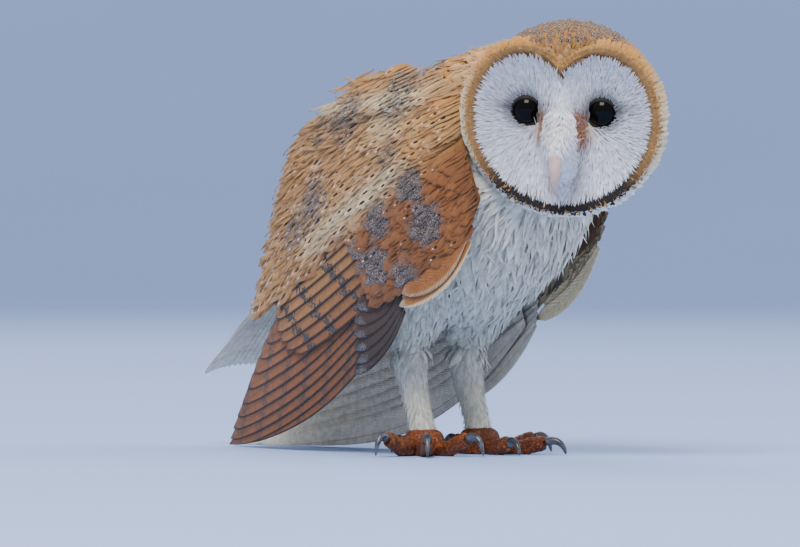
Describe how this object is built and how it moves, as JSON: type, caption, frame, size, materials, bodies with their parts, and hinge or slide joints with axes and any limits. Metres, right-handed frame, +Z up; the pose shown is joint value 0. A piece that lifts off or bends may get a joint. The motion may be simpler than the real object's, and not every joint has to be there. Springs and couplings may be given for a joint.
{
  "type": "barn owl",
  "caption": "Life-size still model of a standing barn owl, hunched, with its heart-shaped face turned to its right and its folded wings hanging low",
  "frame": {"origin": "centre of the bounding box, on the floor that the owl stands on", "axes": "+Z up, -Y the way the body faces, +X the owl's left side"},
  "size_m": [0.1112, 0.3086, 0.2091],
  "materials": {
    "plumage_buff": "matt golden-buff feathers with grey speckle and dark tear marks",
    "plumage_white": "soft matt white feathers with a few small dark spots",
    "plumage_brown": "matt orange-brown flight feathers with dark bars",
    "disc_white": "fine matt cool-white bristle feathers",
    "eye": "wet near-black",
    "bill": "pale pinkish horn, slightly glossy",
    "toe_skin": "scaly rust-brown skin",
    "claw": "polished dark grey horn"
  },
  "bodies": {
    "root": {"head": "plumage_buff", "facial_disc": "disc_white", "eye_left": "eye", "eye_right": "eye", "bill_upper": "bill", "bill_lower": "bill", "neck": "plumage_white", "trunk": "plumage_white", "tail": "plumage_white", "thigh_left": "plumage_white", "thigh_right": "plumage_white", "shank_left": "plumage_white", "shank_right": "plumage_white", "wing_arm_left": "plumage_buff", "wing_arm_right": "plumage_buff", "wing_alula_left": "plumage_buff", "wing_alula_right": "plumage_buff", "wing_secondaries_left": "plumage_buff", "wing_secondaries_right": "plumage_buff", "wing_scapulars_left": "plumage_buff", "wing_scapulars_right": "plumage_buff", "wing_primary_coverts_left": "plumage_brown", "wing_primary_coverts_right": "plumage_brown", "wing_primaries_left": "plumage_brown", "wing_primaries_right": "plumage_brown", "foot_left": "toe_skin", "foot_right": "toe_skin", "toe_inner_left": "toe_skin", "toe_inner_right": "toe_skin", "toe_middle_left": "toe_skin", "toe_middle_right": "toe_skin", "toe_outer_left": "toe_skin", "toe_outer_right": "toe_skin", "toe_hind_left": "toe_skin", "toe_hind_right": "toe_skin", "claw_inner_left": "claw", "claw_inner_right": "claw", "claw_middle_left": "claw", "claw_middle_right": "claw", "claw_outer_left": "claw", "claw_outer_right": "claw", "claw_hind_left": "claw", "claw_hind_right": "claw"}
  },
  "joints": []
}
